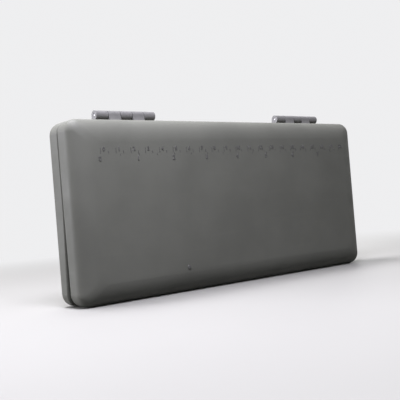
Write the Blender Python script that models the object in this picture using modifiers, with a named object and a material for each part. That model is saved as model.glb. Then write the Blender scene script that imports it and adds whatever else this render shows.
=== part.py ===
"""Fishing rig box: two pillow-shaped trays on knuckle hinges, held shut by magnets.

Metres, +Z up. The box stands on its long opening edge with its hinges on top. X runs along
the box, the lid faces -Y, the base faces +Y, and the two halves meet at the plane y = 0.
Each half holds a slotted foam board and a row of rig pins.
"""
import math

import bmesh
import bpy
from mathutils import Matrix

# Case
LENGTH = 0.2360
HEIGHT = 0.1035
SHELL_DEPTH = 0.0155
SIDE_BAND = 0.0076
ROLL_INSET = 0.0140
CORNER_RADIUS = 0.0075
LEAST_CORNER = 0.0010
WALL = 0.0020
RIM_ROUND = 0.0008
RIM_EASE = 0.0003
RIM_GAP = 0.0003
RIMS_PART_BELOW = 0.0530
BASE_RIM_DROP = 0.0027
LID_RIM_DROP = 0.0010
LIP_CLEARANCE = 0.0003
LIP_THICKNESS = 0.0010
LIP_RISE = 0.0019
LIP_ROOT = 0.0040

# Hinges
HINGE_FROM_END = 0.0245
KNUCKLE_COUNT = 5
KNUCKLE_WIDTH = 0.0080
KNUCKLE_GAP = 0.0003
KNUCKLE_RADIUS = 0.0028
KNUCKLE_ROUND = 0.0005
UNDER_BARREL_GAP = 0.0008
ARM_FOOT_OUT = 0.0050
ARM_FOOT_IN = 0.0026
ARM_UNDERSIDE_SHARE = 0.5
PIN_RADIUS = 0.00075
PIN_CLEARANCE = 0.00025
PIN_RECESS = 0.0002
PIN_END_ROUND = 0.0002

# Closure magnets
MAGNET_RADIUS = 0.0040
MAGNET_THICKNESS = 0.0030
MAGNET_ROUND = 0.0003
MAGNET_CLEARANCE = 0.0003
MAGNET_RECESS = 0.0002
BOSS_WALL = 0.0012
BOSS_SINK = 0.0003
BOSS_TO_LIP = 0.0004
BOSS_MEETING_GAP = 0.0003

# Foam boards
RIG_SPACE = 0.0065
FOAM_CLEARANCE = 0.0003
BOSS_TO_FOAM = 0.0004
LANE_PITCH = 0.0086
LANE_MARGIN = 0.0115
SLOT_WIDTH = 0.0014
SLOT_TO_BACK = 0.0027
SLOT_LENGTH = 0.0220
SLOT_FROM_END = 0.0130

# Rig pins
RIG_PIN_FROM_END = 0.0200
RIG_PIN_HEAD_RADIUS = 0.0026
RIG_PIN_HEAD_HEIGHT = 0.0022
RIG_PIN_COLLAR_RADIUS = 0.0013
RIG_PIN_COLLAR_HEIGHT = 0.0006
RIG_PIN_SHAFT_RADIUS = 0.0006
RIG_PIN_TO_BACK = 0.0013
RIG_PIN_POINT_LENGTH = 0.0022
RIG_PIN_TIP_RADIUS = 0.0001
RIG_PIN_SEAT = 0.0003
RIG_PIN_HOLE_CLEARANCE = 0.0003

# Cuts
OVERRUN = 0.0010
WELD_DISTANCE = 0.000002

# Facets
CORNER_STEPS = 8
ROLL_STEPS = 9
INNER_ROLL_STEPS = 6
FOAM_ROLL_STEPS = 4
RIM_STEPS = 3
BARREL_STEPS = 20
KNUCKLE_ROUND_STEPS = 2
BORE_SIDES = 16
BOSS_SIDES = 32
MAGNET_SIDES = 28
RIG_PIN_SIDES = 10
HEAD_STEPS = 3
FLARE_STEPS = 4

# Angles
SMOOTH_UP_TO = math.radians(35)
BEVEL_FROM = math.radians(50)

# Sides of the parting plane
LID_SIDE = -1
BASE_SIDE = 1

# Worked out from the sizes above
ROLL_DEPTH = SHELL_DEPTH - SIDE_BAND
FLOOR_DEPTH = SHELL_DEPTH - WALL
HINGE_AXIS_HEIGHT = HEIGHT + UNDER_BARREL_GAP + KNUCKLE_RADIUS
HINGE_LENGTH = KNUCKLE_COUNT * KNUCKLE_WIDTH + (KNUCKLE_COUNT - 1) * KNUCKLE_GAP
HINGE_CENTRE = LENGTH / 2 - HINGE_FROM_END - HINGE_LENGTH / 2
POCKET_RADIUS = MAGNET_RADIUS + MAGNET_CLEARANCE
BOSS_RADIUS = POCKET_RADIUS + BOSS_WALL
BOSS_INSET = WALL + BOSS_RADIUS - BOSS_SINK
BOSS_FACE_DEPTH = BOSS_MEETING_GAP / 2
MAGNET_FACE_DEPTH = BOSS_FACE_DEPTH + MAGNET_RECESS
POCKET_BACK_DEPTH = MAGNET_FACE_DEPTH + MAGNET_THICKNESS + MAGNET_CLEARANCE
FOAM_BACK_DEPTH = FLOOR_DEPTH - FOAM_CLEARANCE
SLOT_BACK_DEPTH = FOAM_BACK_DEPTH - SLOT_TO_BACK
RIG_PIN_SHAFT_LENGTH = FOAM_BACK_DEPTH - RIG_SPACE - RIG_PIN_TO_BACK
LANE_COUNT = int((HEIGHT - 2 * LANE_MARGIN) / LANE_PITCH) + 1
LOWEST_LANE = HEIGHT / 2 - (LANE_COUNT - 1) / 2 * LANE_PITCH

# Collections
PARTS = "fishing_rig_box"
CUTTERS = "cutters"
LID_AXIS = "hinge_axis"


def clear_scene():
    """Start from nothing."""
    for item in list(bpy.data.objects):
        bpy.data.objects.remove(item, do_unlink=True)


def collection(name, parent=None):
    """Make a collection in the scene, or inside another one."""
    made = bpy.data.collections.new(name)
    holder = parent or bpy.context.scene.collection
    holder.children.link(made)
    return made


def material(name, colour, roughness, metallic=0.0):
    """A plain surface with one colour."""
    made = bpy.data.materials.new(name)
    made.use_nodes = True
    shader = made.node_tree.nodes["Principled BSDF"]
    shader.inputs["Base Color"].default_value = (*colour, 1.0)
    shader.inputs["Roughness"].default_value = roughness
    shader.inputs["Metallic"].default_value = metallic
    return made


def shell_material(name):
    return material(name, (0.150, 0.152, 0.138), roughness=0.60)


def foam_material(name):
    return material(name, (0.022, 0.022, 0.024), roughness=0.90)


def steel_material(name):
    return material(name, (0.600, 0.600, 0.610), roughness=0.30, metallic=1.0)


def nickel_material(name):
    return material(name, (0.660, 0.640, 0.600), roughness=0.25, metallic=1.0)


def rig_pin_material(name):
    return material(name, (0.240, 0.250, 0.180), roughness=0.45)


def hinge_axis_empty():
    """The empty on the hinge axis that carries all that moves with the lid."""
    axis = bpy.data.objects.new(LID_AXIS, None)
    bpy.data.collections[PARTS].objects.link(axis)
    axis.empty_display_type = "SINGLE_ARROW"
    axis.empty_display_size = HEIGHT
    axis.location.z = HINGE_AXIS_HEIGHT


def hang_lid():
    """Hang the lid's pieces and tool shapes on the hinge axis, where they are."""
    axis = bpy.data.objects[LID_AXIS]
    bpy.context.view_layer.update()
    for item in list(bpy.data.objects):
        if item.name.startswith("lid_"):
            item.parent = axis
            item.matrix_parent_inverse = axis.matrix_world.inverted()


def placed(name, mesh, finish):
    """Make a piece of the box."""
    made = bpy.data.objects.new(name, mesh)
    bpy.data.collections[PARTS].objects.link(made)
    made.data.materials.clear()
    made.data.materials.append(finish(name))
    return made


def guide(name, mesh, where=CUTTERS):
    """Make a tool shape, which only shapes the pieces."""
    made = bpy.data.objects.new(name, mesh)
    bpy.data.collections[where].objects.link(made)
    made.hide_render = True
    made.display_type = "WIRE"
    return made


def evaluated_mesh(item, name):
    """The mesh that an object's modifiers or curve settings give, with its caps welded."""
    bpy.context.view_layer.update()
    graph = bpy.context.evaluated_depsgraph_get()
    mesh = bpy.data.meshes.new_from_object(item.evaluated_get(graph))
    mesh.name = name
    work = bmesh.new()
    work.from_mesh(mesh)
    bmesh.ops.remove_doubles(work, verts=work.verts, dist=WELD_DISTANCE)
    work.to_mesh(mesh)
    work.free()
    return mesh


def smooth(mesh):
    """Shade round surfaces smooth and keep edges crisp."""
    mesh.shade_smooth()
    mesh.set_sharp_from_angle(angle=SMOOTH_UP_TO)


def boolean(item, other, operation):
    """Join, cut or trim one object by another, or by all of a collection."""
    step = item.modifiers.new(f"{operation.lower()}_{other.name}", "BOOLEAN")
    step.operation = operation
    step.solver = "EXACT"
    if isinstance(other, bpy.types.Collection):
        step.operand_type = "COLLECTION"
        step.collection = other
    else:
        step.object = other
    return step


def weld(item):
    """Close hairline seams left where cuts meet."""
    step = item.modifiers.new("weld", "WELD")
    step.merge_threshold = WELD_DISTANCE
    return step


def bevel(item, width, segments=1):
    """Round an object's sharp edges."""
    step = item.modifiers.new("edge_round", "BEVEL")
    step.width = width
    step.segments = segments
    step.limit_method = "ANGLE"
    step.angle_limit = BEVEL_FROM
    return step


# The outline of the box and the sections that run round it

def outline_ring(inset):
    """Points of the rounded outline in the XZ plane, moved inwards by inset, with one where the rims part."""
    radius = max(CORNER_RADIUS - inset, LEAST_CORNER)
    side = LENGTH / 2 - inset
    across = side - radius
    low = inset + radius
    high = HEIGHT - inset - radius
    corners = ((across, high), (-across, high), (-across, low), (across, low))
    points = [(side, RIMS_PART_BELOW)]
    for quarter, (centre_x, centre_z) in enumerate(corners):
        for step in range(CORNER_STEPS + 1):
            angle = math.pi / 2 * (quarter + step / CORNER_STEPS)
            points.append((centre_x + radius * math.cos(angle), centre_z + radius * math.sin(angle)))
        if quarter == 1:
            points.append((-side, RIMS_PART_BELOW))
    return points


def rim_depth(side, height):
    """Distance of a half's rim from the parting plane, which grows below the height where the rims part."""
    drop = BASE_RIM_DROP if side == BASE_SIDE else LID_RIM_DROP
    return RIM_GAP / 2 + drop * max(0.0, 1 - height / RIMS_PART_BELOW)


def roll_section(offset, steps, from_depth=SIDE_BAND):
    """The curve from the side to the flat face, moved inwards by offset, as (inset, depth) pairs."""
    across = ROLL_INSET - offset
    down = ROLL_DEPTH - offset
    start = math.asin(max(0.0, from_depth - SIDE_BAND) / down)
    section = []
    for step in range(steps + 1):
        angle = start + (math.pi / 2 - start) * step / steps
        section.append((ROLL_INSET - across * math.cos(angle), SIDE_BAND + down * math.sin(angle)))
    return section


def lofted(name, side, rings):
    """A closed body through rings of (inset, depth, whether the depth counts from the sloping rim)."""
    mesh = bpy.data.meshes.new(name)
    work = bmesh.new()
    loops = []
    for inset, depth, from_rim in rings:
        loop = []
        for x, z in outline_ring(inset):
            base = rim_depth(side, z) if from_rim else 0.0
            loop.append(work.verts.new((x, side * (base + depth), z)))
        loops.append(loop)
    for loop, next_loop in zip(loops, loops[1:]):
        count = len(loop)
        for index in range(count):
            after = (index + 1) % count
            work.faces.new((loop[index], loop[after], next_loop[after], next_loop[index]))
    work.faces.new(loops[0])
    work.faces.new(loops[-1])
    bmesh.ops.recalc_face_normals(work, faces=work.faces)
    work.to_mesh(mesh)
    work.free()
    return mesh


def lip_rings():
    """Rings of the base's inner lip, which stands inside the lid's rim and closes the gap."""
    outer = WALL + LIP_CLEARANCE
    inner = outer + LIP_THICKNESS
    return [(outer, 0.0, True), (outer, -LIP_RISE, False), (inner, -LIP_RISE, False),
            (inner, LIP_ROOT, False), (WALL, LIP_ROOT + inner - WALL, False)]


def rim_rings(side):
    """Rings from the outer wall over the rounded rim: the lid's inner edge is eased, the base's has the lip."""
    rings = []
    for step in range(RIM_STEPS + 1):
        angle = math.pi / 2 * step / RIM_STEPS
        rings.append((RIM_ROUND * (1 - math.cos(angle)), RIM_ROUND * (1 - math.sin(angle)), True))
    if side == BASE_SIDE:
        return rings + lip_rings()
    return rings + [(WALL - RIM_EASE, 0.0, True), (WALL, RIM_EASE, True)]


def tray_rings(side):
    """Rings of a half: outer face, side, rim, lip on the base, inner side and floor."""
    outer = [(inset, depth, False) for inset, depth in reversed(roll_section(0.0, ROLL_STEPS))]
    inner = [(inset, depth, False) for inset, depth in roll_section(WALL, INNER_ROLL_STEPS)]
    return outer + rim_rings(side) + inner


def wall_middle_rings():
    """Rings of the body inside the middle of the wall, which trims what is moulded on the inside."""
    rolled = [(inset, depth, False) for inset, depth in reversed(roll_section(WALL / 2, INNER_ROLL_STEPS))]
    return rolled + [(WALL / 2, -OVERRUN, False)]


def foam_rings():
    """Rings of a foam board, whose sides follow the tray they are pressed into."""
    offset = WALL + FOAM_CLEARANCE
    rings = [(inset, depth, False) for inset, depth in roll_section(offset, FOAM_ROLL_STEPS, RIG_SPACE)]
    if RIG_SPACE < SIDE_BAND:
        rings.insert(0, (offset, RIG_SPACE, False))
    return rings


# Hinges

def arc(radius, start, end, steps):
    """Points of an arc about the hinge axis."""
    points = []
    for step in range(steps + 1):
        angle = start + (end - start) * step / steps
        points.append((radius * math.cos(angle), radius * math.sin(angle)))
    return points


def knuckle_outline():
    """Barrel and arm, seen along the hinge axis: distance out from the parting plane, and height."""
    root = -(UNDER_BARREL_GAP + KNUCKLE_RADIUS + WALL / 2)
    under = -math.acos(ARM_UNDERSIDE_SHARE)
    over = arc(KNUCKLE_RADIUS, 0.0, 2 * math.pi + under, BARREL_STEPS)
    flare = []
    for step in range(FLARE_STEPS):
        angle = math.pi / 2 * step / FLARE_STEPS
        reach = ARM_FOOT_OUT + (KNUCKLE_RADIUS - ARM_FOOT_OUT) * math.sin(angle)
        flare.append((reach, root * math.cos(angle)))
    return over + [(ARM_FOOT_IN, root)] + flare


def knuckle_mesh(side):
    """A knuckle of one half, centred on the hinge axis, with its end edges rounded."""
    curve = bpy.data.curves.new("knuckle_outline", "CURVE")
    curve.dimensions = "2D"
    curve.fill_mode = "BOTH"
    curve.extrude = KNUCKLE_WIDTH / 2
    outline = knuckle_outline()
    spline = curve.splines.new("POLY")
    spline.points.add(len(outline) - 1)
    spline.use_cyclic_u = True
    for point, (out, height) in zip(spline.points, outline):
        point.co = (out, height, 0.0, 1.0)
    flat = guide("knuckle_flat", curve)
    solid = guide("knuckle_solid", evaluated_mesh(flat, "knuckle"))
    bevel(solid, KNUCKLE_ROUND, KNUCKLE_ROUND_STEPS)
    rounded = evaluated_mesh(solid, f"knuckle_{side}")
    bpy.data.objects.remove(flat)
    bpy.data.objects.remove(solid)
    axes = Matrix(((0, 0, 1), (side, 0, 0), (0, 1, 0))).to_4x4()
    rounded.transform(axes)
    if axes.determinant() < 0:
        rounded.flip_normals()
    return rounded


def knuckle_places(side):
    """Middles of a half's knuckles along X: the base has the first, third and fifth of a hinge."""
    first = 0 if side == BASE_SIDE else 1
    pitch = KNUCKLE_WIDTH + KNUCKLE_GAP
    places = []
    for centre in (-HINGE_CENTRE, HINGE_CENTRE):
        for number in range(first, KNUCKLE_COUNT, 2):
            places.append(centre + (number - (KNUCKLE_COUNT - 1) / 2) * pitch)
    return places


def rod(name, radius, length, sides, turn_axis="Y"):
    """Mesh of a round bar centred on its origin, along X when turned about Y, along Y about X."""
    mesh = bpy.data.meshes.new(name)
    work = bmesh.new()
    turn = Matrix.Rotation(math.pi / 2, 4, turn_axis)
    bmesh.ops.create_cone(work, cap_ends=True, segments=sides, radius1=radius, radius2=radius,
                          depth=length, matrix=turn)
    work.to_mesh(mesh)
    work.free()
    return mesh


def add_knuckles(side, half, adders):
    """The bored knuckles of one half, ready to join to its shell."""
    knuckle = knuckle_mesh(side)
    bore_mesh = rod("knuckle_bore", PIN_RADIUS + PIN_CLEARANCE, KNUCKLE_WIDTH + 2 * OVERRUN, BORE_SIDES)
    for number, x in enumerate(knuckle_places(side), start=1):
        bore = guide(f"{half}_bore_{number}", bore_mesh)
        bore.location = (x, 0.0, HINGE_AXIS_HEIGHT)
        arm = guide(f"{half}_knuckle_{number}", knuckle, adders.name)
        arm.location = (x, 0.0, HINGE_AXIS_HEIGHT)
        boolean(arm, bore, "DIFFERENCE")


def add_hinge_pins():
    """A steel pin in each hinge, held by the base's knuckles."""
    for name, centre in (("hinge_pin_left", -HINGE_CENTRE), ("hinge_pin_right", HINGE_CENTRE)):
        mesh = rod(name, PIN_RADIUS, HINGE_LENGTH - 2 * PIN_RECESS, BORE_SIDES)
        pin = placed(name, mesh, steel_material)
        pin.location = (centre, 0.0, HINGE_AXIS_HEIGHT)
        bevel(pin, PIN_END_ROUND)
        smooth(pin.data)


# Magnets and their bosses

def boss_places():
    """Middles of the magnet bosses in the two corners of the opening edge."""
    across = LENGTH / 2 - BOSS_INSET
    return (("left", -across, BOSS_INSET), ("right", across, BOSS_INSET))


def disc(name, radius, front, back, sides):
    """Mesh of a round piece along Y, as long as two depths of one half are apart."""
    return rod(name, radius, back - front, sides, "X")


def seat_disc(item, side, x, z, front, back):
    """Put a round piece between two depths of one half."""
    item.location = (x, side * (front + back) / 2, z)


def add_bosses(side, half, adders):
    """Bosses with the pockets for the magnets, trimmed to the middle of the wall they grow from."""
    trim = guide(f"{half}_wall_middle", lofted(f"{half}_wall_middle", side, wall_middle_rings()))
    for place, x, z in boss_places():
        name = f"{half}_boss_{place}"
        boss = guide(name, disc(name, BOSS_RADIUS, BOSS_FACE_DEPTH, SHELL_DEPTH, BOSS_SIDES), adders.name)
        seat_disc(boss, side, x, z, BOSS_FACE_DEPTH, SHELL_DEPTH)
        boolean(boss, trim, "INTERSECT")
        name = f"{half}_pocket_{place}"
        pocket = guide(name, disc(name, POCKET_RADIUS, -OVERRUN, POCKET_BACK_DEPTH, BOSS_SIDES))
        seat_disc(pocket, side, x, z, -OVERRUN, POCKET_BACK_DEPTH)
        boolean(boss, pocket, "DIFFERENCE")
        weld(boss)


def cut_lip(shell, side, half):
    """Gaps in the lip for the other half's bosses, and its root cut back to the middle of this half's."""
    gaps = collection(f"{half}_lip_gaps", bpy.data.collections[CUTTERS])
    front = -LIP_RISE - OVERRUN
    steps = (("crest", BOSS_RADIUS + BOSS_TO_LIP, BOSS_FACE_DEPTH + BOSS_TO_LIP),
             ("root", POCKET_RADIUS + BOSS_WALL / 2, POCKET_BACK_DEPTH + BOSS_WALL / 2))
    for place, x, z in boss_places():
        for step, radius, back in steps:
            name = f"{half}_lip_{step}_{place}"
            gap = guide(name, disc(name, radius, front, back, BOSS_SIDES), gaps.name)
            seat_disc(gap, side, x, z, front, back)
    boolean(shell, gaps, "DIFFERENCE")


def add_magnets(side, half):
    """The closure magnets in their pockets."""
    back = MAGNET_FACE_DEPTH + MAGNET_THICKNESS
    for place, x, z in boss_places():
        name = f"{half}_magnet_{place}"
        mesh = disc(name, MAGNET_RADIUS, MAGNET_FACE_DEPTH, back, MAGNET_SIDES)
        magnet = placed(name, mesh, nickel_material)
        seat_disc(magnet, side, x, z, MAGNET_FACE_DEPTH, back)
        bevel(magnet, MAGNET_ROUND)
        smooth(magnet.data)


# Shells

def add_shell(side, half):
    """One moulded half with its knuckles and magnet bosses."""
    name = f"{half}_shell"
    shell = placed(name, lofted(name, side, tray_rings(side)), shell_material)
    smooth(shell.data)
    if side == BASE_SIDE:
        cut_lip(shell, side, half)
    adders = collection(f"{half}_adders", bpy.data.collections[CUTTERS])
    add_knuckles(side, half, adders)
    add_bosses(side, half, adders)
    boolean(shell, adders, "UNION")
    weld(shell)


# Foam boards and rig pins

def lane_heights():
    """Heights of the rig lanes, evenly spaced about the middle of the board."""
    return [LOWEST_LANE + number * LANE_PITCH for number in range(LANE_COUNT)]


def foam_cuts(side, half, cuts):
    """One cutter with every slot and pin hole of a board."""
    mesh = bpy.data.meshes.new(f"{half}_foam_cuts")
    work = bmesh.new()
    slot_x = -LENGTH / 2 + SLOT_FROM_END + SLOT_LENGTH / 2
    front = RIG_SPACE - OVERRUN
    slot_reach = SLOT_BACK_DEPTH - front
    slot_y = side * (front + slot_reach / 2)
    hole_x = LENGTH / 2 - RIG_PIN_FROM_END
    hole_reach = RIG_SPACE + RIG_PIN_SHAFT_LENGTH + RIG_PIN_HOLE_CLEARANCE - front
    hole_y = side * (front + hole_reach / 2)
    turn = Matrix.Rotation(math.pi / 2, 4, "X")
    for z in lane_heights():
        stretch = Matrix.Diagonal((SLOT_LENGTH, slot_reach, SLOT_WIDTH, 1.0))
        bmesh.ops.create_cube(work, size=1, matrix=Matrix.Translation((slot_x, slot_y, z)) @ stretch)
        radius = RIG_PIN_SHAFT_RADIUS + RIG_PIN_HOLE_CLEARANCE
        bmesh.ops.create_cone(work, cap_ends=True, segments=RIG_PIN_SIDES, radius1=radius, radius2=radius,
                              depth=hole_reach, matrix=Matrix.Translation((hole_x, hole_y, z)) @ turn)
    work.to_mesh(mesh)
    work.free()
    return guide(f"{half}_foam_cuts", mesh, cuts.name)


def add_foam(side, half):
    """A slotted foam board pressed into its tray and cut round the magnet bosses."""
    name = f"{half}_foam"
    foam = placed(name, lofted(name, side, foam_rings()), foam_material)
    smooth(foam.data)
    cuts = collection(f"{half}_cuts", bpy.data.collections[CUTTERS])
    foam_cuts(side, half, cuts)
    front = RIG_SPACE - OVERRUN
    for place, x, z in boss_places():
        name = f"{half}_foam_notch_{place}"
        notch = guide(name, disc(name, BOSS_RADIUS + BOSS_TO_FOAM, front, SHELL_DEPTH, BOSS_SIDES), cuts.name)
        seat_disc(notch, side, x, z, front, SHELL_DEPTH)
    boolean(foam, cuts, "DIFFERENCE")
    weld(foam)


def rig_pin_profile():
    """Outer side of a rig pin from the top of its head to its point, as (radius, height)."""
    collar_top = RIG_PIN_SEAT + RIG_PIN_COLLAR_HEIGHT
    crown = RIG_PIN_HEAD_HEIGHT / 2
    profile = [(0.0, collar_top + RIG_PIN_HEAD_HEIGHT)]
    for step in range(1, HEAD_STEPS + 1):
        angle = math.pi / 2 * step / HEAD_STEPS
        profile.append((RIG_PIN_HEAD_RADIUS * math.sin(angle), collar_top + crown * (1 + math.cos(angle))))
    profile.append((RIG_PIN_COLLAR_RADIUS, collar_top))
    profile.append((RIG_PIN_COLLAR_RADIUS, RIG_PIN_SEAT))
    profile.append((RIG_PIN_SHAFT_RADIUS, RIG_PIN_SEAT))
    profile.append((RIG_PIN_SHAFT_RADIUS, RIG_PIN_POINT_LENGTH - RIG_PIN_SHAFT_LENGTH))
    profile.append((RIG_PIN_TIP_RADIUS, -RIG_PIN_SHAFT_LENGTH))
    profile.append((0.0, -RIG_PIN_SHAFT_LENGTH))
    return profile


def rig_pin_mesh():
    """The pin's profile turned about its axis; height 0 is the face of the foam."""
    mesh = bpy.data.meshes.new("rig_pin_profile")
    points = [(radius, 0.0, height) for radius, height in rig_pin_profile()]
    edges = [(index, index + 1) for index in range(len(points) - 1)]
    mesh.from_pydata(points, edges, [])
    turned = guide("rig_pin_turned", mesh)
    screw = turned.modifiers.new("turn", "SCREW")
    screw.steps = RIG_PIN_SIDES
    screw.render_steps = RIG_PIN_SIDES
    screw.use_merge_vertices = True
    screw.merge_threshold = WELD_DISTANCE
    solid = evaluated_mesh(turned, "rig_pin")
    bpy.data.objects.remove(turned)
    smooth(solid)
    return solid


def add_rig_pins(side, half, mesh):
    """A pin for each lane, pushed into the board at the end away from the slots."""
    for number, z in enumerate(lane_heights(), start=1):
        name = f"{half}_rig_pin_{number:02d}"
        pin = placed(name, mesh.copy(), rig_pin_material)
        pin.location = (LENGTH / 2 - RIG_PIN_FROM_END, side * RIG_SPACE, z)
        pin.rotation_euler.x = side * math.pi / 2


def build():
    """Build both halves, then what joins them."""
    clear_scene()
    collection(PARTS)
    collection(CUTTERS)
    rig_pin = rig_pin_mesh()
    for side, half in ((BASE_SIDE, "base"), (LID_SIDE, "lid")):
        add_shell(side, half)
        add_foam(side, half)
        add_magnets(side, half)
        add_rig_pins(side, half, rig_pin)
    add_hinge_pins()
    hinge_axis_empty()
    hang_lid()


build()
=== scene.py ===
"""Looks of the fishing rig box: moulded shells with a ruler, foam boards, pins, magnets and hinge pins.

Metres, +Z up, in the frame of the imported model: X runs along the box, the lid faces -Y, the base
faces +Y, and the hinges are on top. Every piece is a class with its sizes as fields and methods
that build its mesh and dress it.
"""
from __future__ import annotations

import logging
import math
from collections.abc import Callable, Iterator
from contextlib import contextmanager
from dataclasses import dataclass, field
from enum import Enum
from functools import cached_property

import bmesh
import bpy
from mathutils import Euler, Matrix, Vector


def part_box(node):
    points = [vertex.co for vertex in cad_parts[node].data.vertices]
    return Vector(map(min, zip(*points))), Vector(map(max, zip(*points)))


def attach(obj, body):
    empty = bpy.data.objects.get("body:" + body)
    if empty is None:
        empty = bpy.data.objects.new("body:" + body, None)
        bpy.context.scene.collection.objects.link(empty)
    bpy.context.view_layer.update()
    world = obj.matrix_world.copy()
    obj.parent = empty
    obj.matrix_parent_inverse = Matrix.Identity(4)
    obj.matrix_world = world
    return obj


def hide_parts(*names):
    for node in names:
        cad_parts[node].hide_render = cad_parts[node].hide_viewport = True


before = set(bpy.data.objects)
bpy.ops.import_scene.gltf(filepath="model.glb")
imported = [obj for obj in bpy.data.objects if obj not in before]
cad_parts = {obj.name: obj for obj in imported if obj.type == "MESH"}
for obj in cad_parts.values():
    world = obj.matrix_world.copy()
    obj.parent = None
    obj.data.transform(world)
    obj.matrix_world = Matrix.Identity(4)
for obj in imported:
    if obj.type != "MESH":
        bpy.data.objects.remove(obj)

LOG = logging.getLogger("rig_box")

# Points closer than the first are one point, and places closer than the second count as the same
MERGE_DISTANCE = 0.000002
SAME_PLACE = 0.00005

# Faces that meet within this many degrees are one flat face
FLAT_WITHIN = 0.4

# Least part of a face's normal along Z for a bar's end, and for the flat middle of a rounded end
END_ON = 0.9
FLAT_END_ON = 0.999

# The most that a large face can outweigh a small one in the normal that they share
FULL_WEIGHT = 100

Colour = tuple[float, float, float]
Span = tuple[float, float]
Piece = bpy.types.Object
Socket = bpy.types.NodeSocket
Feed = Socket | Colour | float
MeshPart = bmesh.types.BMEdge | bmesh.types.BMFace


class Half(Enum):
    """The two halves of the box, which are also the two bodies of the model."""

    BASE = "base"
    LID = "lid"

    @property
    def body(self) -> str:
        """Name of the body that the half's pieces ride on."""
        return self.value

    @property
    def side(self) -> int:
        """Direction of the half's outer face along Y."""
        return 1 if self is Half.BASE else -1

    @classmethod
    def of(cls, node: str) -> Half:
        """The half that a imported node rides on, where the hinge pins ride on the base."""
        return cls.LID if node.startswith(cls.LID.body) else cls.BASE


class End(Enum):
    """Ends of the box, seen by someone who faces the lid."""

    LEFT = "left"
    RIGHT = "right"


class Slot(Enum):
    """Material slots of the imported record."""

    SHELL = "shell_plastic"
    FOAM = "foam"
    STEEL = "pin_steel"
    NICKEL = "magnet_nickel"
    RIG_PIN = "rig_pin_plastic"


class Pick(Enum):
    """What is picked in edit mode."""

    EDGE = "edges"
    FACE = "faces"


class Combine(Enum):
    """How two values of a material are combined."""

    SUM = "ADD"
    DIFFERENCE = "SUBTRACT"
    PRODUCT = "MULTIPLY"
    LARGER = "MAXIMUM"


# Modelling steps

def deselect_all() -> None:
    """Leave edit mode and select nothing."""
    if bpy.context.object and bpy.context.object.mode != "OBJECT":
        bpy.ops.object.mode_set(mode="OBJECT")
    bpy.ops.object.select_all(action="DESELECT")


def make_active(item: Piece) -> None:
    """Select one object alone and make it the active one.

    Args:
        item: The object that the next operators act on.
    """
    deselect_all()
    item.select_set(True)
    bpy.context.view_layer.objects.active = item


@contextmanager
def editing(item: Piece) -> Iterator[None]:
    """Open an object in edit mode with nothing selected, and close it again.

    Args:
        item: The mesh object to edit.
    """
    make_active(item)
    bpy.ops.object.mode_set(mode="EDIT")
    bpy.ops.mesh.select_mode(type="VERT")
    bpy.ops.mesh.select_all(action="DESELECT")
    try:
        yield
    finally:
        bpy.ops.object.mode_set(mode="OBJECT")


def pick(item: Piece, kind: Pick, wanted: Callable[[MeshPart], bool]) -> None:
    """Select the edges or faces that a test wants, in edit mode.

    Args:
        item: The object in edit mode.
        kind: Whether edges or faces are picked.
        wanted: Test of an edge or a face.
    """
    bpy.ops.mesh.select_mode(type=kind.name)
    bpy.ops.mesh.select_all(action="DESELECT")
    work = bmesh.from_edit_mesh(item.data)
    for part in getattr(work, kind.value):
        if wanted(part):
            part.select_set(True)
    work.select_flush_mode()
    bmesh.update_edit_mesh(item.data)


def pick_end(item: Piece, height: float) -> None:
    """Select the faces that close a round bar at one height, in edit mode.

    Args:
        item: The bar in edit mode.
        height: Where the end is along Z.
    """
    def closes_end(face: bmesh.types.BMFace) -> bool:
        """Whether a face lies across the bar at that height."""
        return abs(face.normal.z) > END_ON and abs(face.calc_center_median().z - height) < SAME_PLACE

    pick(item, Pick.FACE, closes_end)


def is_sharp(edge: bmesh.types.BMEdge, degrees: float) -> bool:
    """Whether the two faces of an edge meet at more than an angle in degrees."""
    return len(edge.link_faces) == 2 and edge.calc_face_angle() > math.radians(degrees)


def settle(item: Piece) -> None:
    """Move an object's place, turn and scale into its mesh."""
    make_active(item)
    bpy.ops.object.transform_apply(location=True, rotation=True, scale=True)


def smooth_by_angle(item: Piece, degrees: float) -> None:
    """Shade an object smooth where its faces meet at less than an angle in degrees."""
    make_active(item)
    bpy.ops.object.shade_smooth_by_angle(angle=math.radians(degrees))


def weigh_normals(item: Piece) -> None:
    """Let large flat faces keep their own normal, so that only the curved ones shade round.

    Args:
        item: The mesh object, with its sharp edges marked.
    """
    step = item.modifiers.new("flat_faces_first", "WEIGHTED_NORMAL")
    step.mode = "FACE_AREA"
    step.weight = FULL_WEIGHT
    step.keep_sharp = True
    make_active(item)
    bpy.ops.object.modifier_apply(modifier=step.name)


def merged_copy(node: str, name: str) -> Piece:
    """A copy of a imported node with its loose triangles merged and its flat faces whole.

    Args:
        node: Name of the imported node.
        name: Name of the copy.

    Returns:
        The new object, at the origin.
    """
    item = bpy.data.objects.new(name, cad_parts[node].data.copy())
    item.data.name = name
    bpy.context.scene.collection.objects.link(item)
    item.data.materials.clear()
    with editing(item):
        bpy.ops.mesh.select_all(action="SELECT")
        bpy.ops.mesh.remove_doubles(threshold=MERGE_DISTANCE)
        bpy.ops.mesh.dissolve_limited(angle_limit=math.radians(FLAT_WITHIN))
    return item


def placed_copy(model: Piece, name: str, place: Vector, turn: float = 0.0) -> Piece:
    """A copy of a model with its own mesh, in its place, with the place settled into the mesh.

    Args:
        model: The piece that repeats, along Z at the origin.
        name: Name of the copy.
        place: Where the model's origin goes.
        turn: Angle about X in radians.

    Returns:
        The copy, at the origin and unturned.
    """
    twin = model.copy()
    twin.data = model.data.copy()
    twin.name = name
    twin.data.name = name
    bpy.context.scene.collection.objects.link(twin)
    twin.location = place
    twin.rotation_euler = (turn, 0.0, 0.0)
    settle(twin)
    return twin


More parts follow.
